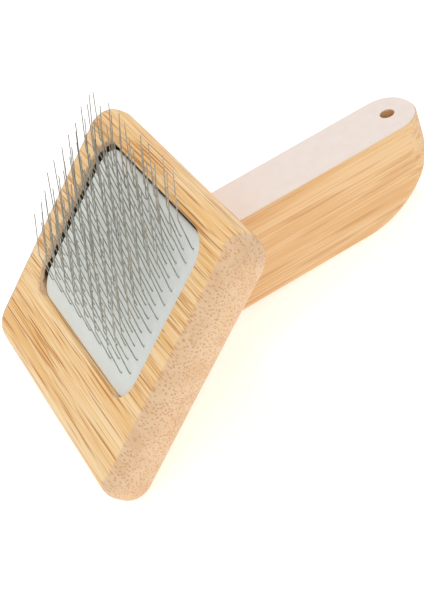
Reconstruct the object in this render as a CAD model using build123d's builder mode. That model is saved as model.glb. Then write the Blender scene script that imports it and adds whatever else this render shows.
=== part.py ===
"""Slicker brush: a bamboo head with a bent-wire pin pad, screwed to a flat-topped bamboo handle.

The brush is modelled as it lies on a table, pins up: the lower edge of the head and the heel of the
handle touch z = 0. X runs along the long side of the head, +Y from the head towards the handle.
"Head coordinates" (x, y, z) are measured from the centre of the head's front face, z out of the pins.
"""

from build123d import *
from math import asin, atan2, cos, hypot, radians, sin, tan
import os

os.makedirs("parts", exist_ok=True)

# ---------------------------------------------------------------- driving dimensions, mm and degrees
head_length = 100.0
head_width = 81.5
head_corner = 8.0
frame_thickness = 7.0
glue_thickness = 0.15
back_thickness = 5.85
front_round = 5.8
back_round = 5.4

opening_length = 72.5
opening_width = 52.0
opening_corner = 8.5
opening_shift = 8.0
opening_chamfer = 0.4

pad_recess = 1.8
pad_gap = 0.8
pad_offset_x = 0.35
pad_offset_y = -0.6
pad_thickness = 1.2
cloth_thickness = 0.6
adhesive_thickness = 0.2

pin_columns = 16
pin_column_step = 3.97
pins_per_column = 10
pin_step = 4.3
wire_diameter = 0.32
wire_clearance = 0.04
root_height = 0.25
leg_height = 7.8
leg_lean = 6.4
tip_height = 15.4
tip_lean = 18.4
wire_bend = 0.45

handle_angle = 41.0
handle_start = 19.7
handle_length = 83.0
handle_depth = 30.5
handle_width = 19.8
heel_radius = 29.0
heel_overrun = 0.8
handle_end_round = 9.0
handle_edge_round = 4.0
handle_top_edge = 0.5
hang_hole_radius = 2.2
hang_hole_from_end = 8.0
hang_hole_wall = 16.5
knot_recess_radius = 4.0

screw_length = 20.0
screw_diameter = 3.8
screw_head_diameter = 8.0
screw_play = 0.05
screw_positions = (-6.0, 12.0)
screw_tip = 4.0
screw_slot_length = 4.0
screw_slot_width = 0.9
screw_slot_depth = 1.2
glue_setback = 0.6

groove_width = 0.6
groove_depth = 0.75

# ---------------------------------------------------------------- levels down from the front face
head_thickness = frame_thickness + glue_thickness + back_thickness
pad_top = -pad_recess
pad_bottom = pad_top - pad_thickness
cloth_bottom = pad_bottom - cloth_thickness
pocket_floor = -frame_thickness - glue_thickness
foam_bottom = pocket_floor + adhesive_thickness
crown_level = cloth_bottom - wire_bend

# ---------------------------------------------------------------- resting pose
# The table is the common tangent below two circles of the side view: the rounded lower back edge of
# the head and the heel of the handle. Both centres are (y, z) in head coordinates.
slope = radians(handle_angle)
lower_edge = (-(head_width / 2 - back_round), -(head_thickness - back_round))
heel_along = handle_length + heel_overrun - heel_radius
heel_down = handle_depth - heel_radius
heel = (
    handle_start + heel_along * cos(slope) - heel_down * sin(slope),
    -head_thickness - heel_along * sin(slope) - heel_down * cos(slope),
)
span = (heel[0] - lower_edge[0], heel[1] - lower_edge[1])
pitch = -(atan2(span[1], span[0]) + asin((back_round - heel_radius) / hypot(*span)))
droop = slope - pitch


def turned(y, z):
    """Turn a side-view point of the head by the pitch, without moving the origin."""
    return y * cos(pitch) - z * sin(pitch), y * sin(pitch) + z * cos(pitch)


front_edge_y = turned(-(head_width / 2 - front_round), -front_round)[0] - front_round
handle_end_y = (
    turned(handle_start, -head_thickness)[0] + handle_length * cos(droop) - handle_top_edge * sin(droop)
)
origin_y = -(front_edge_y + handle_end_y) / 2
origin_z = back_round - turned(*lower_edge)[1]

HEAD = Plane(origin=(0, origin_y, origin_z), x_dir=(1, 0, 0), z_dir=(0, -sin(pitch), cos(pitch)))
OPENING = Plane(origin=HEAD.from_local_coords((0, opening_shift, 0)), x_dir=HEAD.x_dir, z_dir=HEAD.z_dir)
PAD = Plane(origin=OPENING.from_local_coords((pad_offset_x, pad_offset_y, 0)), x_dir=HEAD.x_dir, z_dir=HEAD.z_dir)
OUT = Axis(HEAD.origin, HEAD.z_dir)
# Side view of the head: local x is the head's y, local y is the head's z.
PIN_SIDE = Plane(origin=HEAD.origin, x_dir=HEAD.y_dir, z_dir=HEAD.x_dir)
# Side view of the handle: local x runs along its flat top, local y is square to the top.
top_start = HEAD.from_local_coords((0, handle_start, -head_thickness))
HANDLE_SIDE = Plane(origin=top_start, x_dir=(0, cos(droop), -sin(droop)), z_dir=(1, 0, 0))
HANDLE_TOP = Plane(origin=top_start, x_dir=(1, 0, 0), z_dir=(0, sin(droop), cos(droop)))
UP = Axis(top_start, HANDLE_TOP.z_dir)

# ---------------------------------------------------------------- pin layout, head coordinates
# Neighbouring columns are half a step apart, so the pins stand in a staggered grid.
column_x = [(column - (pin_columns - 1) / 2) * pin_column_step for column in range(pin_columns)]
column_start = [
    opening_shift - (pins_per_column - 1) / 2 * pin_step + (0.25 if column % 2 else -0.25) * pin_step
    for column in range(pin_columns)
]
pin_places = [
    (x, start + number * pin_step) for x, start in zip(column_x, column_start) for number in range(pins_per_column)
]


def write(part, name):
    """Label a finished piece and write it as a STEP file of the same name."""
    part.label = name
    export_step(part, f"parts/{name}.step")


# ---------------------------------------------------------------- head: front frame
with BuildPart() as head_frame:
    with BuildSketch(HEAD):
        RectangleRounded(head_length, head_width, head_corner)
    extrude(amount=-frame_thickness)
    fillet(head_frame.faces().sort_by(OUT)[-1].edges(), radius=front_round)
    with BuildSketch(OPENING):
        RectangleRounded(opening_length, opening_width, opening_corner)
    extrude(amount=-frame_thickness, mode=Mode.SUBTRACT)
    front_face = head_frame.faces().filter_by(HEAD).sort_by(OUT)[-1]
    chamfer(front_face.inner_wires()[0].edges(), length=opening_chamfer)
write(head_frame.part, "head_frame")

# ---------------------------------------------------------------- head: glue line and back board
with BuildPart() as frame_glue:
    with BuildSketch(HEAD.offset(-frame_thickness)):
        RectangleRounded(head_length, head_width, head_corner)
    extrude(amount=-glue_thickness)
    with BuildSketch(OPENING.offset(-frame_thickness)):
        RectangleRounded(opening_length, opening_width, opening_corner)
    extrude(amount=-glue_thickness, mode=Mode.SUBTRACT)
write(frame_glue.part, "frame_glue")

with BuildPart() as head_back:
    with BuildSketch(HEAD.offset(pocket_floor)):
        RectangleRounded(head_length, head_width, head_corner)
    extrude(amount=-back_thickness)
    fillet(head_back.faces().sort_by(OUT)[0].edges(), radius=back_round)
    with Locations(HEAD.offset(pocket_floor)):
        with Locations(*[(0, y) for y in screw_positions]):
            CounterSinkHole(screw_diameter / 2 + screw_play, screw_head_diameter / 2 + screw_play)
write(head_back.part, "head_back")

# ---------------------------------------------------------------- handle
mitre_run = handle_depth / tan(slope)
mitre_length = handle_depth / sin(slope)
mitre_gap = glue_thickness / sin(slope)
plan_length = handle_length + 2 * mitre_run


def is_belly_edge(edge):
    """True for the two long edges under the handle and the edges round its heel."""
    middle = HANDLE_SIDE.to_local_coords(edge @ 0.5)
    across = abs((edge @ 0.5).X)
    on_belly = middle.Y < -handle_depth + 0.01 and across > handle_width / 2 - 0.01
    return on_belly or (middle.X > heel_along and middle.Y < -2 * handle_top_edge and edge.geom_type != GeomType.LINE)


def is_top_edge(edge):
    """True for the rim of the flat top, apart from its edge at the head."""
    middle = HANDLE_SIDE.to_local_coords(edge @ 0.5)
    return abs(middle.Y) < 0.01 and middle.X > 2 * mitre_gap


with BuildPart() as handle:
    # Side view: flat top, mitred front, straight belly and a round heel.
    with BuildSketch(HANDLE_SIDE):
        with BuildLine():
            Line((mitre_gap, 0), (handle_length + heel_overrun, 0))
            Line((handle_length + heel_overrun, 0), (handle_length + heel_overrun, -heel_down))
            RadiusArc((handle_length + heel_overrun, -heel_down), (heel_along, -handle_depth), heel_radius)
            Line((heel_along, -handle_depth), (mitre_gap - mitre_run, -handle_depth))
            Line((mitre_gap - mitre_run, -handle_depth), (mitre_gap, 0))
        make_face()
    extrude(amount=handle_width / 2, both=True)
    # Plan view: parallel sides and a rounded end.
    with BuildSketch(HANDLE_TOP):
        with Locations((0, handle_length - plan_length / 2)):
            RectangleRounded(handle_width, plan_length, handle_end_round)
    extrude(amount=-2 * handle_depth, both=True, mode=Mode.INTERSECT)
    belly_edges = handle.edges().filter_by(is_belly_edge)
    fillet(belly_edges, radius=handle_edge_round)
    chamfer(handle.edges().filter_by(is_top_edge), length=handle_top_edge)
    # The hanging hole opens into a wider recess for the cord's knot, cut up from the belly.
    with BuildSketch(HANDLE_TOP):
        with Locations((0, handle_length - hang_hole_from_end)):
            Circle(hang_hole_radius)
    extrude(amount=-handle_depth, mode=Mode.SUBTRACT)
    with BuildSketch(HANDLE_TOP.offset(-hang_hole_wall)):
        with Locations((0, handle_length - hang_hole_from_end)):
            Circle(knot_recess_radius)
    extrude(amount=-handle_depth, mode=Mode.SUBTRACT)
    with BuildSketch(HEAD.offset(-head_thickness)):
        with Locations(*[(0, y) for y in screw_positions]):
            Circle(screw_diameter / 2 + screw_play)
    extrude(amount=-(screw_length - back_thickness + screw_play), mode=Mode.SUBTRACT)
write(handle.part, "handle")

# ---------------------------------------------------------------- joint between handle and head
with BuildPart() as handle_glue:
    with BuildSketch(HEAD.offset(-head_thickness)):
        with Locations((0, handle_start - mitre_length / 2)):
            Rectangle(handle_width - 2 * glue_setback, mitre_length - 2 * glue_setback)
        with Locations(*[(0, y) for y in screw_positions]):
            Circle(screw_diameter / 2 + screw_play, mode=Mode.SUBTRACT)
    extrude(amount=-glue_thickness)
write(handle_glue.part, "handle_glue")

screw_cone = (screw_head_diameter - screw_diameter) / 2
with BuildPart() as handle_screws:
    with Locations(HEAD.offset(pocket_floor)):
        with Locations(*[(0, y) for y in screw_positions]):
            Cone(
                screw_diameter / 2,
                screw_head_diameter / 2,
                screw_cone,
                align=(Align.CENTER, Align.CENTER, Align.MAX),
            )
            with Locations((0, 0, -screw_cone)):
                Cylinder(
                    screw_diameter / 2,
                    screw_length - screw_cone - screw_tip,
                    align=(Align.CENTER, Align.CENTER, Align.MAX),
                )
            with Locations((0, 0, -screw_length + screw_tip)):
                Cone(0.3, screw_diameter / 2, screw_tip, align=(Align.CENTER, Align.CENTER, Align.MAX))
            Box(
                screw_slot_length,
                screw_slot_width,
                screw_slot_depth,
                align=(Align.CENTER, Align.CENTER, Align.MAX),
                mode=Mode.SUBTRACT,
            )
            Box(
                screw_slot_width,
                screw_slot_length,
                screw_slot_depth,
                align=(Align.CENTER, Align.CENTER, Align.MAX),
                mode=Mode.SUBTRACT,
            )
write(handle_screws.part, "handle_screws")

# ---------------------------------------------------------------- pad, from the pocket floor up
pad_length = opening_length - 2 * pad_gap
pad_width = opening_width - 2 * pad_gap
pad_corner = opening_corner - pad_gap


def pad_layer(top, thickness):
    """A sheet with the pad's outline, its upper face at the given level, pushed to one corner."""
    with BuildPart(mode=Mode.PRIVATE) as layer:
        with BuildSketch(PAD.offset(top)):
            RectangleRounded(pad_length, pad_width, pad_corner)
        extrude(amount=-thickness)
    return layer.part


def leg_holes(top, thickness):
    """The close holes for the legs of the pins through a sheet, as solids to cut away."""
    with BuildPart(mode=Mode.PRIVATE) as holes:
        with BuildSketch(HEAD.offset(top)):
            with Locations(*pin_places):
                Circle(wire_diameter / 2 + wire_clearance)
        extrude(amount=-thickness)
    return holes.part


with BuildPart() as pocket_adhesive:
    add(pad_layer(foam_bottom, adhesive_thickness))
write(pocket_adhesive.part, "pocket_adhesive")

with BuildPart() as cushion_foam:
    add(pad_layer(cloth_bottom, cloth_bottom - foam_bottom))
    with BuildSketch(HEAD.offset(cloth_bottom)):
        for x, start in zip(column_x, column_start):
            with Locations((x, start + (pins_per_column - 1) / 2 * pin_step)):
                SlotCenterToCenter((pins_per_column - 1) * pin_step, groove_width, rotation=90)
    extrude(amount=-groove_depth, mode=Mode.SUBTRACT)
write(cushion_foam.part, "cushion_foam")

with BuildPart() as pad_cloth:
    add(pad_layer(pad_bottom, cloth_thickness))
    add(leg_holes(pad_bottom, cloth_thickness), mode=Mode.SUBTRACT)
write(pad_cloth.part, "pad_cloth")

with BuildPart() as pad_face:
    add(pad_layer(pad_top, pad_thickness))
    add(leg_holes(pad_top, pad_thickness), mode=Mode.SUBTRACT)
write(pad_face.part, "pad_face")

# ---------------------------------------------------------------- pins
# One wire makes two pins: a crown under the cloth, two legs that come up square through the pad and
# lean a little, and two tips bent further towards the handle.
root = pad_top + root_height
knee = pad_top + leg_height
tip = pad_top + tip_height
with BuildPart() as staple:
    with BuildLine(PIN_SIDE):
        wire = FilletPolyline(
            (tip_lean, tip),
            (leg_lean, knee),
            (0, root),
            (0, crown_level),
            (pin_step, crown_level),
            (pin_step, root),
            (pin_step + leg_lean, knee),
            (pin_step + tip_lean, tip),
            radius=wire_bend,
        )
    with BuildSketch(wire ^ 0):
        Circle(wire_diameter / 2)
    sweep()

for column, (x, start) in enumerate(zip(column_x, column_start), start=1):
    with BuildPart() as pin_row:
        for pair in range(pins_per_column // 2):
            step = HEAD.x_dir * x + HEAD.y_dir * (start + 2 * pair * pin_step)
            with Locations(Location(step)):
                add(staple.part)
    write(pin_row.part, f"pin_row_{column:02d}")
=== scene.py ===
# %% [markdown]
# # A bamboo slicker brush
# A slicker brush lifts loose hair out of a pet's coat. It is a bamboo head that holds a pad full of
# bent wire pins, on a deep bamboo handle. Here it lies on a table with its pins up.
#
# The frame, which is the solid model, brings every part at its true size and place. The boards and
# the handle have their right shapes already, so they only get their wood here. Two pieces need a
# finer shape: the field of 160 wire pins, and the rubber face of the pad. They are made again, and
# stand in for the solid ones.
#
# The order is: load and measure the frame, make the shared node groups and the materials, make the
# pad and the pins, then set up the table, the light and the camera.

# %% Load the frame
from math import cos, degrees, pi, radians, sin

import bmesh
import bpy
from mathutils import Matrix, Quaternion, Vector


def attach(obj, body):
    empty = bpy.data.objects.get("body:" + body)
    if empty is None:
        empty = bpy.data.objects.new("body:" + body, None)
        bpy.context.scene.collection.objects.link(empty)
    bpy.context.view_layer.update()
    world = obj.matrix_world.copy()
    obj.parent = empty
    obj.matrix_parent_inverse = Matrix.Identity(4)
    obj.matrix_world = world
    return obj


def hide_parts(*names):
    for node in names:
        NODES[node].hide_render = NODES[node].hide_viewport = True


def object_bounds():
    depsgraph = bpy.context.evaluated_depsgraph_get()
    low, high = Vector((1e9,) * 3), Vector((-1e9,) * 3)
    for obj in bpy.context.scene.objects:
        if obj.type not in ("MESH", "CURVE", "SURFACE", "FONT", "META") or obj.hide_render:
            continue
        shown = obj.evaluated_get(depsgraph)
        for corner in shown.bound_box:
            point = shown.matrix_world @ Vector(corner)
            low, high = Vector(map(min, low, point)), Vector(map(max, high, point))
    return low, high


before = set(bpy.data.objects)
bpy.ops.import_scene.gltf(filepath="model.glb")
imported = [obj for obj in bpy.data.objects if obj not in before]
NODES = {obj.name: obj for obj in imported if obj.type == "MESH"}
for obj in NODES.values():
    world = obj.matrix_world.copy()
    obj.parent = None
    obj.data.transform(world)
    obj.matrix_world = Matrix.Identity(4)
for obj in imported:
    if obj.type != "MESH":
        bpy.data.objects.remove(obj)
cad_low, cad_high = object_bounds()
MM = 0.001
frame_size = [round((high - low) / MM, 1) for low, high in zip(cad_low, cad_high)]
print("nodes in the frame:", len(NODES), "- size in mm:", frame_size)

# %% [markdown]
# ## Measure the frame
# The head leans back on its lower edge and the handle slopes, so neither lies along the world axes.
# Sizes and grain are easier to say in each part's own directions. In *head coordinates*, x runs along
# the long side, y runs up the face towards the handle, and z points out of the face.
#
# The lean could be typed in as an angle. It is read from the frame instead, as the direction of the
# largest upward polygon of a node, so that a change of the solid model moves everything made here.

# %% Flat faces and local frames
FACES_UP = 0.5


def flat_top(node):
    """A point on the largest upward polygon of a node, and the direction it faces."""
    mesh = NODES[node].data
    face = max((p for p in mesh.polygons if p.normal.z > FACES_UP), key=lambda p: p.area)
    return face.center.copy(), face.normal.normalized()


def local_frame(point, out):
    """Matrix of a frame with z along out, x along the world's x, and its origin at x = 0."""
    across = Vector((1, 0, 0))
    along = out.cross(across).normalized()
    matrix = Matrix((across, along, out)).transposed().to_4x4()
    matrix.translation = (0, point.y, point.z)
    return matrix


def middle_of(node, matrix):
    """Middle of a node's extent along the x and the y of a local frame."""
    inverse = matrix.inverted()
    points = [inverse @ v.co for v in NODES[node].data.vertices]
    xs, ys = [p.x for p in points], [p.y for p in points]
    return (min(xs) + max(xs)) / 2, (min(ys) + max(ys)) / 2


# %% The pad, the head and the handle
PAD_OFFSET_X = 0.35 * MM
PAD_OFFSET_Y = -0.6 * MM

pad_point, head_out = flat_top("pad_face")
PAD = local_frame(pad_point, head_out)
PAD = PAD @ Matrix.Translation((*middle_of("pad_face", PAD), 0))
# The pad is pushed towards one corner of its pocket; the pins keep to the middle of the opening.
PINS = PAD @ Matrix.Translation((-PAD_OFFSET_X, -PAD_OFFSET_Y, 0))

frame_point, _ = flat_top("head_frame")
HEAD = local_frame(frame_point, head_out)
HEAD = HEAD @ Matrix.Translation((*middle_of("head_frame", HEAD), 0))

handle_point, handle_out = flat_top("handle")
HANDLE = local_frame(handle_point, handle_out)

world_up = Vector((0, 0, 1))
print("the head leans", round(degrees(head_out.angle(world_up)), 2), "degrees")
print("the handle's top leans", round(degrees(handle_out.angle(world_up)), 2), "degrees")

# %% [markdown]
# ## Small helpers for node trees
# A node tree built in a script soon fills with lines that add nodes and link sockets. `put` does both
# at once, and the helpers after it name the steps used most. Each tree below then reads as a list of
# steps. The same helpers serve materials and Geometry Nodes, because Math nodes are common to both.

# %% Helper: add a node


def put(tree, kind, inputs=None, **settings):
    """Add a node, set its properties, then link or fill its inputs by name or number."""
    node = tree.nodes.new(kind)
    for name, value in settings.items():
        setattr(node, name, value)
    for key, value in (inputs or {}).items():
        if isinstance(value, bpy.types.NodeSocket):
            tree.links.new(value, node.inputs[key])
        else:
            node.inputs[key].default_value = value
    return node


# %% Helpers: the steps used most


def maths(tree, operation, a, b=0.0):
    """A Math node's result."""
    return put(tree, "ShaderNodeMath", {0: a, 1: b}, operation=operation).outputs[0]


def vector_maths(tree, operation, a, b):
    """A Vector Math node's vector result."""
    return put(tree, "ShaderNodeVectorMath", {0: a, 1: b}, operation=operation).outputs[0]


def split(tree, vector):
    """The X, Y and Z of a vector."""
    return put(tree, "ShaderNodeSeparateXYZ", {0: vector}).outputs


def join(tree, **parts):
    """A vector made of X, Y and Z."""
    return put(tree, "ShaderNodeCombineXYZ", parts).outputs[0]


def ramp(tree, value, start, end, low=0.0, high=1.0):
    """A smooth step of value from low at start to high at end."""
    step = {"Value": value, "From Min": start, "From Max": end, "To Min": low, "To Max": high}
    return put(tree, "ShaderNodeMapRange", step, interpolation_type="SMOOTHSTEP").outputs[0]


def mix_colours(tree, factor, a, b):
    """Blend two colours by a factor."""
    return put(tree, "ShaderNodeMix", {0: factor, 6: a, 7: b}, data_type="RGBA").outputs[2]


def noise(tree, vector, scale, detail=2.0):
    """A Noise Texture's height."""
    sizes = {"Vector": vector, "Scale": scale, "Detail": detail}
    return put(tree, "ShaderNodeTexNoise", sizes).outputs[0]


# %% Helpers: groups with named inputs


def named_inputs(tree, inputs):
    """Give a tree its named inputs. Returns the sockets inside the tree that carry them."""
    for label, kind, value in inputs:
        socket = tree.interface.new_socket(label, in_out="INPUT", socket_type=kind)
        if value is not None:
            socket.default_value = value
    return tree.nodes.new("NodeGroupInput").outputs


def new_group(name, inputs, outputs):
    """An empty shader node group. Returns the tree, what it is given, and where its result goes."""
    tree = bpy.data.node_groups.new(name, "ShaderNodeTree")
    given = named_inputs(tree, inputs)
    for label, kind in outputs:
        tree.interface.new_socket(label, in_out="OUTPUT", socket_type=kind)
    return tree, given, tree.nodes.new("NodeGroupOutput").inputs


def use_group(tree, group, inputs):
    """Put a node group into a material and return its outputs."""
    return put(tree, "ShaderNodeGroup", inputs, node_tree=group).outputs


# %% [markdown]
# ## Bamboo as a solid texture
# The boards and the handle are cut from laminated bamboo. Bamboo is full of fibre bundles that run
# the length of the stalk. A face cut along them shows dark streaks, and a face cut across them shows
# dots. A picture of wood would need its own image for each side, with a seam at every edge.
#
# A solid texture has no seams, because it fills space and the wood is cut out of it. One Voronoi cell
# stands for one bundle, stretched along x. The group is built once, and the head and the handle each
# give it their own spacing, length and colours, all in millimetres.

# %% Bamboo: the fibre bundles
FLOAT, VECTOR, COLOUR = "NodeSocketFloat", "NodeSocketVector", "NodeSocketColor"
WANDER_SCALE = 0.05
WANDER = 0.6
NOISE_MIDDLE = (0.5, 0.5, 0.5)
STREAK_EDGE = (0.48, 0.26)
DOT_EDGE = (0.5, 0.22)
FAINTEST_STREAK = 0.3
FAINTEST_DOT = 0.4


def wandering(tree, where):
    """The place in the wood, shifted so that the straight bundles wander a little."""
    cloud = put(tree, "ShaderNodeTexNoise", {"Vector": where, "Scale": WANDER_SCALE, "Detail": 1.0})
    centred = vector_maths(tree, "SUBTRACT", cloud.outputs["Color"], NOISE_MIDDLE)
    sideways = vector_maths(tree, "MULTIPLY", centred, (0.0, WANDER, WANDER))
    return vector_maths(tree, "ADD", where, sideways)


def bundle_marks(tree, given, fibre):
    """Masks of the streaks and of the dots, where some bundles are fainter than others."""
    spacing = given["Bundle Spacing"]
    cell = join(tree, X=given["Bundle Length"], Y=spacing, Z=spacing)
    in_cells = vector_maths(tree, "DIVIDE", fibre, cell)
    bundle = put(tree, "ShaderNodeTexVoronoi", {"Vector": in_cells, "Scale": 1.0}).outputs
    pick = put(tree, "ShaderNodeSeparateColor", {0: bundle["Color"]}).outputs
    streak_strength = ramp(tree, pick[0], 0.0, 0.5, FAINTEST_STREAK, 1.0)
    dot_strength = ramp(tree, pick[1], 0.0, 0.5, FAINTEST_DOT, 1.0)
    streak = maths(tree, "MULTIPLY", ramp(tree, bundle["Distance"], *STREAK_EDGE), streak_strength)
    dot = maths(tree, "MULTIPLY", ramp(tree, bundle["Distance"], *DOT_EDGE), dot_strength)
    return streak, dot


# %% Bamboo: the colours of a face and of the end grain
FIBRE_STRETCH = (0.02, 2.5, 2.5)
STRIP_STRETCH = (0.012, 0.2, 0.2)
FIBRE_SHARE = 0.75
STRIP_SHARE = 0.45
TONE_EDGE = (0.5, 0.69)
GATHER_EDGE = (0.42, 0.66)
LEAST_GATHERED = 0.55
END_EDGE = (0.35, 0.7)
MOST_END_TONE = 0.35


def face_colour(tree, given, streak, thin, broad):
    """Light and middle tones from the fibres and strips, with streaks where the tone is darker."""
    fibres = maths(tree, "MULTIPLY", thin, FIBRE_SHARE)
    strips = maths(tree, "MULTIPLY", broad, STRIP_SHARE)
    tone = maths(tree, "ADD", fibres, strips)
    face = mix_colours(tree, ramp(tree, tone, *TONE_EDGE), given["Light"], given["Middle"])
    gather = maths(tree, "MULTIPLY", streak, ramp(tree, tone, *GATHER_EDGE, LEAST_GATHERED, 1.0))
    strength = maths(tree, "MULTIPLY", gather, given["Streak Strength"])
    return mix_colours(tree, strength, face, given["Dark"])


def end_colour(tree, given, dot, broad):
    """The end grain: a soft change of tone from strip to strip, with a dot for each bundle."""
    tone = ramp(tree, broad, *END_EDGE, 0.0, MOST_END_TONE)
    end = mix_colours(tree, tone, given["End Light"], given["End Dark"])
    return mix_colours(tree, dot, end, given["End Dark"])


# %% Bamboo: the group
BAMBOO_INPUTS = [
    ("Vector", VECTOR, None),
    ("Bundle Spacing", FLOAT, 1.2),
    ("Bundle Length", FLOAT, 16.0),
    ("Streak Strength", FLOAT, 1.0),
    ("Light", COLOUR, (0.9, 0.7, 0.4, 1)),
    ("Middle", COLOUR, (0.8, 0.5, 0.25, 1)),
    ("Dark", COLOUR, (0.5, 0.25, 0.08, 1)),
    ("End Grain", FLOAT, 0.0),
    ("End Light", COLOUR, (0.8, 0.6, 0.4, 1)),
    ("End Dark", COLOUR, (0.5, 0.3, 0.15, 1)),
]
PIT_HEIGHT = -0.6
FIBRE_HEIGHT = 0.5


def bamboo_group():
    """Fibre bundles along x, in millimetres: dark streaks on a face, dots on the end grain."""
    tree, given, result = new_group("Bamboo", BAMBOO_INPUTS, [("Colour", COLOUR), ("Height", FLOAT)])
    where = given["Vector"]
    fibre = wandering(tree, where)
    streak, dot = bundle_marks(tree, given, fibre)
    thin = noise(tree, vector_maths(tree, "MULTIPLY", fibre, FIBRE_STRETCH), scale=1.0, detail=3.0)
    broad = noise(tree, vector_maths(tree, "MULTIPLY", where, STRIP_STRETCH), scale=1.0, detail=2.0)

    face = face_colour(tree, given, streak, thin, broad)
    end = end_colour(tree, given, dot, broad)
    tree.links.new(mix_colours(tree, given["End Grain"], face, end), result["Colour"])

    pits = maths(tree, "MULTIPLY", maths(tree, "MAXIMUM", streak, dot), PIT_HEIGHT)
    fibres = maths(tree, "MULTIPLY", thin, FIBRE_HEIGHT)
    tree.links.new(maths(tree, "ADD", pits, fibres), result["Height"])
    return tree


BAMBOO = bamboo_group()
print("bamboo group:", len(BAMBOO.nodes), "nodes,", len(BAMBOO_INPUTS), "inputs")

# %% [markdown]
# ## How far is the nearest pin?
# Each wire puckers the rubber where it comes out. The rubber could be cut and pulled up in the mesh
# 160 times, for marks about a millimetre wide. A mask does it for almost nothing: this group
# folds the whole pad into one cell of the staggered grid and measures the distance to its middle.

# %% Group: distance to the nearest pin


def pin_distance_group():
    """Distance in millimetres to the nearest pin of the staggered grid, in pad coordinates."""
    tree, given, result = new_group(
        "Pin Distance",
        [("Vector", VECTOR, None), ("Column Step", FLOAT, 4.0), ("Pin Step", FLOAT, 4.0)],
        [("Distance", FLOAT)],
    )
    axes = split(tree, given["Vector"])
    # Pins stand half a column step from x = 0, so the column number is a plain floor.
    column = maths(tree, "FLOOR", maths(tree, "DIVIDE", axes["X"], given["Column Step"]))
    centre = maths(tree, "MULTIPLY", maths(tree, "ADD", column, 0.5), given["Column Step"])
    x = maths(tree, "SUBTRACT", axes["X"], centre)

    # Every second column stands half a pin step further on, a quarter to each side of the middle.
    odd = maths(tree, "FLOORED_MODULO", column, 2.0)
    quarter = maths(tree, "SUBTRACT", maths(tree, "MULTIPLY", odd, 0.5), 0.25)
    shifted = maths(tree, "SUBTRACT", axes["Y"], maths(tree, "MULTIPLY", quarter, given["Pin Step"]))
    along = maths(tree, "DIVIDE", shifted, given["Pin Step"])
    within = maths(tree, "SUBTRACT", along, maths(tree, "FLOOR", along))
    y = maths(tree, "MULTIPLY", maths(tree, "SUBTRACT", within, 0.5), given["Pin Step"])

    square = maths(tree, "ADD", maths(tree, "MULTIPLY", x, x), maths(tree, "MULTIPLY", y, y))
    tree.links.new(maths(tree, "SQRT", square), result["Distance"])
    return tree


PIN_DISTANCE = pin_distance_group()
print("pin distance group:", len(PIN_DISTANCE.nodes), "nodes")

# %% [markdown]
# ## Materials
# Every material starts from a Principled BSDF. On the brush, a Mapping node turns Object coordinates
# into millimetres of the head, the pad or the handle, so that the grain runs with the part and not
# with the world. Generated coordinates would stretch a pattern to each piece's own box, and the two
# boards of the head would no longer match.

# %% Material helpers


def new_material(name, roughness, metallic=0.0, specular=0.5):
    """A node material. Returns it with its tree and its Principled BSDF."""
    material = bpy.data.materials.new(name)
    material.use_nodes = True
    tree = material.node_tree
    shader = tree.nodes["Principled BSDF"]
    shader.inputs["Roughness"].default_value = roughness
    shader.inputs["Metallic"].default_value = metallic
    shader.inputs["Specular IOR Level"].default_value = specular
    return material, tree, shader


def local_millimetres(tree, matrix):
    """Object coordinates turned into a local frame and scaled to millimetres."""
    inverse = matrix.inverted()
    place = {
        "Vector": tree.nodes.new("ShaderNodeTexCoord").outputs["Object"],
        "Location": inverse.translation / MM,
        "Rotation": inverse.to_euler(),
        "Scale": (1 / MM,) * 3,
    }
    return put(tree, "ShaderNodeMapping", place).outputs[0]


def bump(tree, shader, height, strength, distance):
    """Link a height to the shader's normal."""
    sizes = {"Height": height, "Strength": strength, "Distance": distance}
    tree.links.new(put(tree, "ShaderNodeBump", sizes).outputs[0], shader.inputs["Normal"])


def linear(red, green, blue):
    """A screen colour, 0 to 255, as the linear colour that nodes use."""

    def channel(value):
        value /= 255
        return value / 12.92 if value <= 0.04045 else ((value + 0.055) / 1.055) ** 2.4

    return channel(red), channel(green), channel(blue), 1.0


def dress(node, material):
    """Give a CAD node one material."""
    NODES[node].data.materials.clear()
    NODES[node].data.materials.append(material)
    print(f"{node} wears {material.name}")


# %% [markdown]
# ## Bamboo of the head
# The two boards of the head have their bundles along the long side. The two short ends are cut across
# them, so they show dots. Which side is which is read from the surface's own direction in x.
#
# A narrow gap runs beside the pad on three sides, and hardly any along the lower one. On a real brush
# it looks black, being deep in shade. The gap is real in the frame too, but there the pale wood
# bounces so much light that it would look bright. So shade is painted on its walls below the pad's
# level, as a dark colour with a ragged edge.

# %% Painted shade in the crevice beside the pad, in millimetres of the head
OPENING_HALF_X = 36.25
OPENING_HALF_Y = 26.0
OPENING_SHIFT = 8.0
WALL_OUTER, WALL_INNER = 0.3, 0.1
CREVICE_EDGE = (-1.45, -1.85)
RAGGED_SCALE = 0.9
RAGGED_DEPTH = 1.4
BACK_BOARD_EDGE = (-7.12, -7.05)
LOWER_WALL_EDGE = (0.6, 5.0)


def inside_opening(tree, distance, half):
    """A mask of what lies within half of the opening's middle, walls included."""
    return ramp(tree, maths(tree, "ABSOLUTE", distance), half + WALL_OUTER, half + WALL_INNER)


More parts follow.
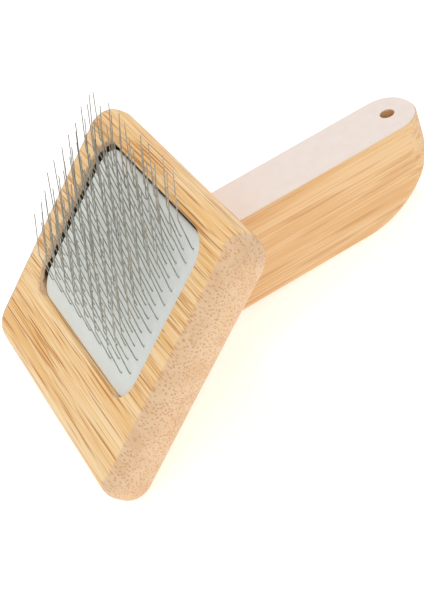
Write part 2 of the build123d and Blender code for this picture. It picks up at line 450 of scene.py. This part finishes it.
def crevice_painted_shade_mask(tree, where):
    """Painted shade: the opening's walls below the pad's face, not the lower wall with hardly a gap.
    """
    axes = split(tree, where)
    from_middle = maths(tree, "SUBTRACT", axes["Y"], OPENING_SHIFT)
    within_x = inside_opening(tree, axes["X"], OPENING_HALF_X)
    within_y = inside_opening(tree, from_middle, OPENING_HALF_Y)
    centred = maths(tree, "SUBTRACT", noise(tree, where, RAGGED_SCALE), 0.5)
    ragged = maths(tree, "MULTIPLY", centred, RAGGED_DEPTH)
    deep = ramp(tree, maths(tree, "ADD", axes["Z"], ragged), *CREVICE_EDGE)
    above_back = ramp(tree, axes["Z"], *BACK_BOARD_EDGE)
    start, end = (distance - OPENING_HALF_Y for distance in LOWER_WALL_EDGE)
    open_side = ramp(tree, from_middle, start, end)
    walls = maths(tree, "MULTIPLY", deep, maths(tree, "MULTIPLY", within_x, within_y))
    return maths(tree, "MULTIPLY", maths(tree, "MULTIPLY", walls, open_side), above_back)


# %% Wood of the two boards
END_GRAIN_EDGE = (0.06, 0.2)
# The colour of the painted shade on the crevice walls.
CREVICE_PAINTED_SHADE = linear(52, 36, 22)


def head_bamboo():
    """Streaked faces, dotted end grain on the two short sides, and painted shade in the crevice."""
    material, tree, shader = new_material("head bamboo", roughness=0.5, specular=0.3)
    where = local_millimetres(tree, HEAD)
    facing = split(tree, tree.nodes.new("ShaderNodeTexCoord").outputs["Normal"])
    look = {
        "Vector": where,
        "Bundle Spacing": 0.64,
        "Bundle Length": 38.0,
        "Streak Strength": 0.95,
        "Light": linear(247, 216, 168),
        "Middle": linear(236, 187, 120),
        "Dark": linear(186, 116, 48),
        "End Grain": ramp(tree, maths(tree, "ABSOLUTE", facing["X"]), *END_GRAIN_EDGE),
        "End Light": linear(228, 195, 158),
        "End Dark": linear(206, 156, 110),
    }
    wood = use_group(tree, BAMBOO, look)
    # Painted shade: the crevice walls are darkened below the pad's level, where the gap lies in
    # shadow.
    colour = mix_colours(tree, crevice_painted_shade_mask(tree, where), wood["Colour"], CREVICE_PAINTED_SHADE)
    tree.links.new(colour, shader.inputs["Base Color"])
    bump(tree, shader, wood["Height"], strength=0.25, distance=0.1 * MM)
    return material


HEAD_BAMBOO = head_bamboo()
dress("head_frame", HEAD_BAMBOO)
dress("head_back", HEAD_BAMBOO)

# %% [markdown]
# ## Bamboo of the handle
# The handle is one block with its bundles lengthwise, so the group's x has to follow the handle's y.
# The sides are honey coloured with soft, wide streaks. The flat top is paler, and shows almost no
# grain. One material holds both, and the height in the handle's own frame chooses.

# %% Wood of the handle
PALE_TOP_EDGE = (-0.35, -0.1)
TOP_LIGHT, TOP_DULL = linear(240, 229, 222), linear(234, 218, 208)


def handle_bamboo():
    """Soft honey grain along the handle, and a pale planed top."""
    material, tree, shader = new_material("handle bamboo", roughness=0.48, specular=0.3)
    where = local_millimetres(tree, HANDLE)
    axes = split(tree, where)
    look = {
        "Vector": join(tree, X=axes["Y"], Y=axes["X"], Z=axes["Z"]),
        "Bundle Spacing": 2.1,
        "Bundle Length": 30.0,
        "Streak Strength": 0.45,
        "Light": linear(232, 196, 149),
        "Middle": linear(222, 176, 122),
        "Dark": linear(196, 138, 82),
    }
    wood = use_group(tree, BAMBOO, look)
    pale = mix_colours(tree, noise(tree, where, scale=0.25), TOP_LIGHT, TOP_DULL)
    on_top = ramp(tree, axes["Z"], *PALE_TOP_EDGE)
    tree.links.new(mix_colours(tree, on_top, wood["Colour"], pale), shader.inputs["Base Color"])
    bump(tree, shader, wood["Height"], strength=0.15, distance=0.1 * MM)
    return material


dress("handle", handle_bamboo())

# %% [markdown]
# ## Wire and rubber
# The pins are drawn steel, bright but not polished. Drawing leaves small changes of roughness along
# the wire, and its colour swings from dark to bright: a painted highlight, standing in for the glints
# of the shiny wire. The pad's face is a pale grey rubber, matt and faintly grainy. Where a wire comes
# through, it is raised and carries painted shade for the hole, which the pin distance group says.

# %% Drawn steel of the pins
# The wire's own dark grey, and the bright tone of the painted highlight.
WIRE_DARK, WIRE_PAINTED_HIGHLIGHT = linear(108, 105, 94), linear(204, 201, 190)
UNEVEN_EDGE = (0.3, 0.7)
SMOOTHEST_WIRE, ROUGHEST_WIRE = 0.28, 0.45


def wire_steel():
    """Grey drawn steel, with painted highlights along each wire and its roughness a little uneven."""
    material, tree, shader = new_material("pin wire", roughness=0.35, metallic=0.9)
    where = local_millimetres(tree, PAD)
    # Painted highlight: the colour swings from dark to bright along the wire, for the glints on it.
    tone = mix_colours(tree, noise(tree, where, scale=0.8), WIRE_DARK, WIRE_PAINTED_HIGHLIGHT)
    tree.links.new(tone, shader.inputs["Base Color"])
    uneven = noise(tree, where, scale=2.5)
    roughness = ramp(tree, uneven, *UNEVEN_EDGE, SMOOTHEST_WIRE, ROUGHEST_WIRE)
    tree.links.new(roughness, shader.inputs["Roughness"])
    return material


# %% Rubber of the pad
COLUMN_STEP = 3.97 * MM
PIN_STEP = 4.3 * MM
FIELD_EDGE_X = (32.0, 31.5)
FIELD_EDGE_Y = (22.2, 21.7)
# The ring round each wire where shade is painted for the hole it comes through, and how dark.
HOLE_EDGE = (0.5, 0.2)
HOLE_SHADE_STRENGTH = 0.4
PUCKER_EDGE = (1.3, 0.25)
RUBBER_GRAIN = 0.35
RUBBER_LIGHT, RUBBER_DULL = linear(233, 237, 233), linear(223, 228, 224)
# Colour of the painted shade in the hole round each wire.
HOLE_PAINTED_SHADE = linear(120, 122, 118)


def pin_field_mask(tree, where):
    """The stretch of the pad where wires stand, because the rubber has holes only there."""
    axes = split(tree, where)
    inside_x = ramp(tree, maths(tree, "ABSOLUTE", axes["X"]), *FIELD_EDGE_X)
    inside_y = ramp(tree, maths(tree, "ABSOLUTE", axes["Y"]), *FIELD_EDGE_Y)
    return maths(tree, "MULTIPLY", inside_x, inside_y)


def pad_rubber():
    """Pale grey-green rubber, puckered round each wire, with painted shade for the hole round each."""
    material, tree, shader = new_material("pad rubber", roughness=0.62, specular=0.35)
    where = local_millimetres(tree, PINS)
    grid = {"Vector": where, "Column Step": COLUMN_STEP / MM, "Pin Step": PIN_STEP / MM}
    gap = use_group(tree, PIN_DISTANCE, grid)["Distance"]
    clouds = noise(tree, where, scale=0.12, detail=3.0)
    base = mix_colours(tree, clouds, RUBBER_LIGHT, RUBBER_DULL)
    inside = pin_field_mask(tree, where)
    # Painted shade: a dark ring round each wire, for the hole in the rubber.
    hole = maths(tree, "MULTIPLY", ramp(tree, gap, *HOLE_EDGE, 0.0, HOLE_SHADE_STRENGTH), inside)
    tree.links.new(mix_colours(tree, hole, base, HOLE_PAINTED_SHADE), shader.inputs["Base Color"])
    pucker = maths(tree, "MULTIPLY", ramp(tree, gap, *PUCKER_EDGE), inside)
    grain = maths(tree, "MULTIPLY", noise(tree, where, scale=5.0, detail=4.0), RUBBER_GRAIN)
    bump(tree, shader, maths(tree, "ADD", pucker, grain), strength=0.5, distance=0.25 * MM)
    return material


# %% [markdown]
# ## Pieces that hardly show
# Behind the rubber lie a woven cloth, a foam cushion and a sheet of adhesive. Two glue lines and two
# screws hold the boards and the handle together. At most an edge of them is seen, so one small recipe
# of two mottled colours serves most of them. The cloth gets a weave of its own: two crossed sine
# waves, because in a plain weave the threads go over and under each other by turns.

# %% Glue, adhesive, foam and screws
MOTTLE_EDGE = (0.35, 0.65)


def plain(name, light, dark, scale, **finish):
    """A mottled material for a piece that hardly shows."""
    material, tree, shader = new_material(name, **finish)
    speckle = noise(tree, local_millimetres(tree, PAD), scale, detail=4.0)
    colour = mix_colours(tree, ramp(tree, speckle, *MOTTLE_EDGE), light, dark)
    tree.links.new(colour, shader.inputs["Base Color"])
    bump(tree, shader, speckle, strength=0.3, distance=0.1 * MM)
    return material


GLUE_LIGHT, GLUE_DARK = linear(232, 190, 140), linear(220, 176, 124)
WOOD_GLUE = plain("wood glue", GLUE_LIGHT, GLUE_DARK, scale=1.5, roughness=0.55)
for glue_line in ("frame_glue", "handle_glue"):
    dress(glue_line, WOOD_GLUE)

TAPE_LIGHT, TAPE_DARK = linear(214, 210, 196), linear(196, 190, 172)
dress("pocket_adhesive", plain("adhesive", TAPE_LIGHT, TAPE_DARK, scale=0.8, roughness=0.5))

FOAM_LIGHT, FOAM_DARK = linear(70, 72, 74), linear(48, 50, 52)
dress("cushion_foam", plain("foam", FOAM_LIGHT, FOAM_DARK, scale=3.0, roughness=0.9))

STEEL_LIGHT, STEEL_DARK = linear(190, 190, 192), linear(160, 160, 163)
SCREW_STEEL = plain("screw steel", STEEL_LIGHT, STEEL_DARK, scale=1.0, roughness=0.3, metallic=1.0)
dress("handle_screws", SCREW_STEEL)

# %% Cloth behind the rubber
THREAD_REPEAT = 0.5
THREAD_EDGE = (-0.5, 0.5)
CLOTH_LIGHT, CLOTH_DARK = linear(150, 152, 150), linear(112, 114, 112)


def woven_cloth():
    """Plain-weave cotton: two crossed sets of threads."""
    material, tree, shader = new_material("pad cloth", roughness=0.85)
    axes = split(tree, local_millimetres(tree, PAD))
    warp = maths(tree, "SINE", maths(tree, "MULTIPLY", axes["X"], 2 * pi / THREAD_REPEAT))
    weft = maths(tree, "SINE", maths(tree, "MULTIPLY", axes["Y"], 2 * pi / THREAD_REPEAT))
    weave = maths(tree, "MULTIPLY", warp, weft)
    colour = mix_colours(tree, ramp(tree, weave, *THREAD_EDGE), CLOTH_LIGHT, CLOTH_DARK)
    tree.links.new(colour, shader.inputs["Base Color"])
    bump(tree, shader, weave, strength=0.6, distance=0.1 * MM)
    return material


dress("pad_cloth", woven_cloth())

# %% [markdown]
# ## The rubber face of the pad
# The pad is a soft sheet. Its rim is rolled, and its face swells slightly towards the middle. A box
# with a bevel would give the rim but leave the face dead flat. Cloth simulation could puff it up, but
# half a millimetre of swell is too little to be worth the time.
#
# So the sheet is built as rings, one inside the other, each a rounded rectangle. A ring's distance in
# from the edge sets its height, first round the rim and then over the face.

# %% Rings of the pad
PAD_LENGTH = 70.9 * MM
PAD_WIDTH = 50.4 * MM
PAD_CORNER = 7.7 * MM
SMALLEST_CORNER = 0.4 * MM
POINTS_PER_CORNER = 10


def ring(inset, height):
    """Points round the pad's outline, moved in by inset, at a height above the pad's own top."""
    half_length = PAD_LENGTH / 2 - inset
    half_width = PAD_WIDTH / 2 - inset
    corner = max(PAD_CORNER - inset, SMALLEST_CORNER)
    points = []
    for quarter in range(4):
        side_x = 1 if quarter in (0, 3) else -1
        side_y = 1 if quarter in (0, 1) else -1
        for step in range(POINTS_PER_CORNER):
            angle = (quarter + step / (POINTS_PER_CORNER - 1)) * pi / 2
            x = side_x * (half_length - corner) + corner * cos(angle)
            y = side_y * (half_width - corner) + corner * sin(angle)
            points.append((x, y, height))
    return points


# %% The section of the pad, from its lower edge to its middle
PAD_THICKNESS = 1.2 * MM
RIM_RADIUS = 0.45 * MM
RIM_STEPS = 6
CROWN = 0.5 * MM
FACE_STEPS = 24
INNERMOST = 1.0 * MM


def swell(inset):
    """Height of the face at a distance in from the rim, level with the solid pad at the middle."""
    far = min(inset / (PAD_WIDTH / 2), 1.0)
    return -CROWN * (1 - far) ** 2


def pad_rings():
    """Rings from the bottom edge, up the side, round the rim and in over the face."""
    rings = [ring(0.0, -PAD_THICKNESS)]
    for step in range(RIM_STEPS + 1):
        angle = step / RIM_STEPS * pi / 2
        inset = RIM_RADIUS * (1 - cos(angle))
        rings.append(ring(inset, swell(inset) - RIM_RADIUS * (1 - sin(angle))))
    for step in range(1, FACE_STEPS + 1):
        inset = RIM_RADIUS + (PAD_WIDTH / 2 - RIM_RADIUS - INNERMOST) * step / FACE_STEPS
        rings.append(ring(inset, swell(inset)))
    return rings


# %% Bridge the rings and put the pad in its place


def mesh_of_rings(name, rings):
    """Bridge the rings and close both ends."""
    body = bmesh.new()
    loops = [[body.verts.new(point) for point in points] for points in rings]
    for low, high in zip(loops, loops[1:]):
        for i in range(len(low)):
            j = (i + 1) % len(low)
            body.faces.new((low[i], low[j], high[j], high[i]))
    body.faces.new(loops[-1])
    body.faces.new(reversed(loops[0]))
    bmesh.ops.recalc_face_normals(body, faces=body.faces)
    for face in body.faces:
        face.smooth = True
    mesh = bpy.data.meshes.new(name)
    body.to_mesh(mesh)
    body.free()
    return mesh


def show(name, mesh):
    """A new object at the origin with this mesh."""
    piece = bpy.data.objects.new(name, mesh)
    bpy.context.scene.collection.objects.link(piece)
    return piece


rings_of_pad = pad_rings()
pad_mesh = mesh_of_rings("pad face", rings_of_pad)
pad_mesh.transform(PAD)
pad_mesh.materials.append(pad_rubber())
pad = show("pad_rubber_face", pad_mesh)
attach(pad, "root")
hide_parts("pad_face")
print("pad:", len(pad_mesh.polygons), "faces from", len(rings_of_pad), "rings")

# %% [markdown]
# ## The pins
# The real pins are staples. A wire is pushed through the cloth from behind, and each of its two ends
# is a pin with a knee half way up. The leg leans towards the handle and the tip leans further, so
# that the pins slide over the skin and hook only the loose hair.
#
# Modelling one pin and copying it with two Array modifiers would work for a square grid. This grid is
# staggered, and no two pins stand quite alike. Geometry Nodes does all of it in one tree with named
# sizes: it bends one wire, lays out the points, and stands a copy on each, turned and tipped a
# little at random from a fixed seed.

# %% One bent wire
STEPS_PER_BEND = 4
WIRE_SIDES = 8


def bent_wire(tree, given):
    """A wire from its root to its tip: four points, rounded bends, and a round section."""
    root = join(tree, Z=maths(tree, "MULTIPLY", given["Root Depth"], -1.0))
    bend = join(tree, Z=given["Root Height"])
    knee = join(tree, Y=given["Leg Lean"], Z=given["Leg Height"])
    tip = join(tree, Y=given["Tip Lean"], Z=given["Tip Height"])
    places = (root, bend, knee, tip)
    line = put(tree, "GeometryNodeMeshLine", {"Count": len(places)}).outputs["Mesh"]
    point = put(tree, "GeometryNodeIndexSwitch", data_type="VECTOR")
    # An Index Switch starts with two items.
    for _ in places[2:]:
        point.index_switch_items.new()
    tree.links.new(put(tree, "GeometryNodeInputIndex").outputs[0], point.inputs["Index"])
    for number, place in enumerate(places):
        tree.links.new(place, point.inputs[number + 1])
    moved = {"Geometry": line, "Position": point.outputs[0]}
    placed = put(tree, "GeometryNodeSetPosition", moved).outputs[0]
    curve = put(tree, "GeometryNodeMeshToCurve", {"Mesh": placed}).outputs[0]
    bends = {
        "Curve": curve,
        "Count": STEPS_PER_BEND,
        "Radius": given["Bend Radius"],
        "Limit Radius": True,
    }
    rounded = put(tree, "GeometryNodeFilletCurve", bends, mode="POLY").outputs[0]
    circle = {"Resolution": WIRE_SIDES, "Radius": given["Wire Radius"]}
    section = put(tree, "GeometryNodeCurvePrimitiveCircle", circle).outputs[0]
    swept = {"Curve": rounded, "Profile Curve": section, "Fill Caps": True}
    return put(tree, "GeometryNodeCurveToMesh", swept).outputs[0]


# %% The staggered grid


def staggered_points(tree, given):
    """A grid of points in columns, with every second column half a step further on."""
    columns, pins_each = given["Columns"], given["Pins per Column"]
    sheet = {
        "Size X": maths(tree, "MULTIPLY", maths(tree, "SUBTRACT", columns, 1.0), given["Column Step"]),
        "Size Y": maths(tree, "MULTIPLY", maths(tree, "SUBTRACT", pins_each, 1.0), given["Pin Step"]),
        "Vertices X": columns,
        "Vertices Y": pins_each,
    }
    grid = put(tree, "GeometryNodeMeshGrid", sheet).outputs["Mesh"]
    index = put(tree, "GeometryNodeInputIndex").outputs[0]
    column = maths(tree, "FLOOR", maths(tree, "DIVIDE", index, pins_each))
    odd = maths(tree, "FLOORED_MODULO", column, 2.0)
    quarter = maths(tree, "MULTIPLY", maths(tree, "SUBTRACT", odd, 0.5), 0.5)
    shift = join(tree, Y=maths(tree, "MULTIPLY", quarter, given["Pin Step"]))
    return put(tree, "GeometryNodeSetPosition", {"Geometry": grid, "Offset": shift}).outputs[0]


# %% The whole field
PIN_COLUMNS = 16
LENGTH, WHOLE = "NodeSocketFloat", "NodeSocketInt"
PIN_INPUTS = [
    ("Columns", WHOLE, PIN_COLUMNS),
    ("Pins per Column", WHOLE, 10),
    ("Column Step", LENGTH, COLUMN_STEP),
    ("Pin Step", LENGTH, PIN_STEP),
    ("Wire Radius", LENGTH, 0.16 * MM),
    ("Root Depth", LENGTH, 1.0 * MM),
    ("Root Height", LENGTH, 0.05 * MM),
    ("Leg Height", LENGTH, 7.8 * MM),
    ("Leg Lean", LENGTH, 6.4 * MM),
    ("Tip Height", LENGTH, 15.4 * MM),
    ("Tip Lean", LENGTH, 18.4 * MM),
    ("Bend Radius", LENGTH, 0.9 * MM),
    ("Tilt", FLOAT, radians(1.6)),
    ("Turn", FLOAT, radians(6.0)),
    ("Seed", WHOLE, 7),
    ("Material", "NodeSocketMaterial", None),
]


def pin_tree():
    """The whole field of pins, in pad coordinates."""
    tree = bpy.data.node_groups.new("Pin Field", "GeometryNodeTree")
    tree.interface.new_socket("Geometry", in_out="OUTPUT", socket_type="NodeSocketGeometry")
    given = named_inputs(tree, PIN_INPUTS)
    result = tree.nodes.new("NodeGroupOutput").inputs

    most = join(tree, X=given["Tilt"], Y=given["Tilt"], Z=given["Turn"])
    least = vector_maths(tree, "MULTIPLY", most, (-1.0, -1.0, -1.0))
    sway = {"Min": least, "Max": most, "Seed": given["Seed"]}
    lean = put(tree, "FunctionNodeRandomValue", sway, data_type="FLOAT_VECTOR").outputs["Value"]
    turn = put(tree, "FunctionNodeEulerToRotation", {0: lean}).outputs[0]

    stand = {
        "Points": staggered_points(tree, given),
        "Instance": bent_wire(tree, given),
        "Rotation": turn,
    }
    stood = put(tree, "GeometryNodeInstanceOnPoints", stand).outputs[0]
    real = put(tree, "GeometryNodeRealizeInstances", {"Geometry": stood}).outputs[0]
    smooth = put(tree, "GeometryNodeSetShadeSmooth", {"Geometry": real}).outputs[0]
    finish = {"Geometry": smooth, "Material": given["Material"]}
    painted = put(tree, "GeometryNodeSetMaterial", finish).outputs[0]
    tree.links.new(painted, result["Geometry"])
    return tree


# %% Grow the pins and keep them as plain mesh


def grow(name, tree, material):
    """Run a Geometry Nodes tree on an empty mesh and return the result as a plain mesh."""
    seedbed = show(name, bpy.data.meshes.new(name))
    modifier = seedbed.modifiers.new(name, "NODES")
    modifier.node_group = tree
    for item in tree.interface.items_tree:
        if item.item_type == "SOCKET" and item.in_out == "INPUT" and item.name == "Material":
            modifier[item.identifier] = material
    graph = bpy.context.evaluated_depsgraph_get()
    mesh = bpy.data.meshes.new_from_object(seedbed.evaluated_get(graph))
    bpy.data.objects.remove(seedbed)
    mesh.name = name
    return mesh


pin_mesh = grow("wire_pins", pin_tree(), wire_steel())
pin_mesh.transform(PINS)
pins = show("wire_pins", pin_mesh)
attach(pins, "root")
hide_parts(*[f"pin_row_{column:02d}" for column in range(1, PIN_COLUMNS + 1)])
print("pins:", len(pin_mesh.polygons), "faces in", PIN_COLUMNS, "columns")

# %% [markdown]
# ## Table, light and camera
# The brush lies on a plain white table. The table glows a little of itself, so that it stays white
# right up to the brush, where a lamp alone would leave grey. It is not part of the brush.

# %% Table
TABLE_REACH = 3.0
TABLE_WHITE = 0.8
TABLE_GLOW = 0.55

table_corners = [(x, y, 0) for x, y in ((-1, -1), (1, -1), (1, 1), (-1, 1))]
floor_mesh = bpy.data.meshes.new("floor")
floor_mesh.from_pydata([Vector(corner) * TABLE_REACH for corner in table_corners], [], [(0, 1, 2, 3)])
floor_material, _, floor_shader = new_material("white table", roughness=0.9, specular=0.1)
floor_shader.inputs["Base Color"].default_value = (TABLE_WHITE, TABLE_WHITE, TABLE_WHITE, 1)
floor_shader.inputs["Emission Color"].default_value = (1, 1, 1, 1)
floor_shader.inputs["Emission Strength"].default_value = TABLE_GLOW
floor_mesh.materials.append(floor_material)
floor = show("floor", floor_mesh)
print("table:", 2 * TABLE_REACH, "m square")

# %% [markdown]
# ## Light
# Two soft square lamps and an even white world stand for a bright studio. The key lamp hangs high
# beyond the head's far short side, and lights the face of the head and the top of the handle. The
# fill is larger and weaker, on the camera's side, and opens the shadows on the near end of the head.
# A single hard lamp would cut 160 sharp shadows across the pad and hide the pins.

# %% Lamps and world
KEY_PLACE = (-0.45, 0.15, 0.95)
FILL_PLACE = (0.7, -0.35, 0.5)
WORLD_STRENGTH = 0.56


def soft_light(name, place, aim, size, power):
    """A square area light at a place, turned to its aim."""
    data = bpy.data.lights.new(name, "AREA")
    data.size = size
    data.energy = power
    lamp = bpy.data.objects.new(name, data)
    lamp.location = place
    lamp.rotation_euler = (Vector(aim) - Vector(place)).to_track_quat("-Z", "Y").to_euler()
    bpy.context.scene.collection.objects.link(lamp)
    print(f"{name} lamp: {size} m square, {power} W")


soft_light("key", KEY_PLACE, aim=HEAD.translation, size=0.45, power=4.2)
soft_light("fill", FILL_PLACE, aim=HEAD.translation, size=0.9, power=2.6)

world = bpy.data.worlds.new("studio")
world.use_nodes = True
background = world.node_tree.nodes["Background"].inputs
background["Color"].default_value = (1, 1, 1, 1)
background["Strength"].default_value = WORLD_STRENGTH
bpy.context.scene.world = world

# %% [markdown]
# ## Camera
# The camera looks down over the near short end of the head. It is rolled, so that the brush runs from
# the lower left to the upper right of a tall frame. Its direction is set by two angles and a roll,
# which are easier to judge by eye than the three turns of an Euler rotation. The Standard view
# transform keeps pale things pale, where a film-like one would grey the whites.

# %% Camera and view
CAMERA_PLACE = Vector((0.3227, -0.0620, 0.2634))
CAMERA_AZIMUTH = radians(-81.08)
CAMERA_ELEVATION = radians(38.14)
CAMERA_ROLL = radians(27.84)
CAMERA_LENS = 84.1
SENSOR_WIDTH = 36.0

facing = Vector(
    (
        cos(CAMERA_ELEVATION) * sin(CAMERA_AZIMUTH),
        cos(CAMERA_ELEVATION) * cos(CAMERA_AZIMUTH),
        -sin(CAMERA_ELEVATION),
    )
)
upright = facing.to_track_quat("-Z", "Y")
roll = Quaternion((0, 0, 1), -CAMERA_ROLL)
camera = bpy.data.objects.new("camera", bpy.data.cameras.new("camera"))
camera.data.lens = CAMERA_LENS
camera.data.sensor_width = SENSOR_WIDTH
camera.location = CAMERA_PLACE
camera.rotation_euler = (upright @ roll).to_euler()
bpy.context.scene.collection.objects.link(camera)
bpy.context.scene.camera = camera
bpy.context.scene.view_settings.view_transform = "Standard"
print("camera:", round((CAMERA_PLACE - HEAD.translation).length, 3), "m from the head")
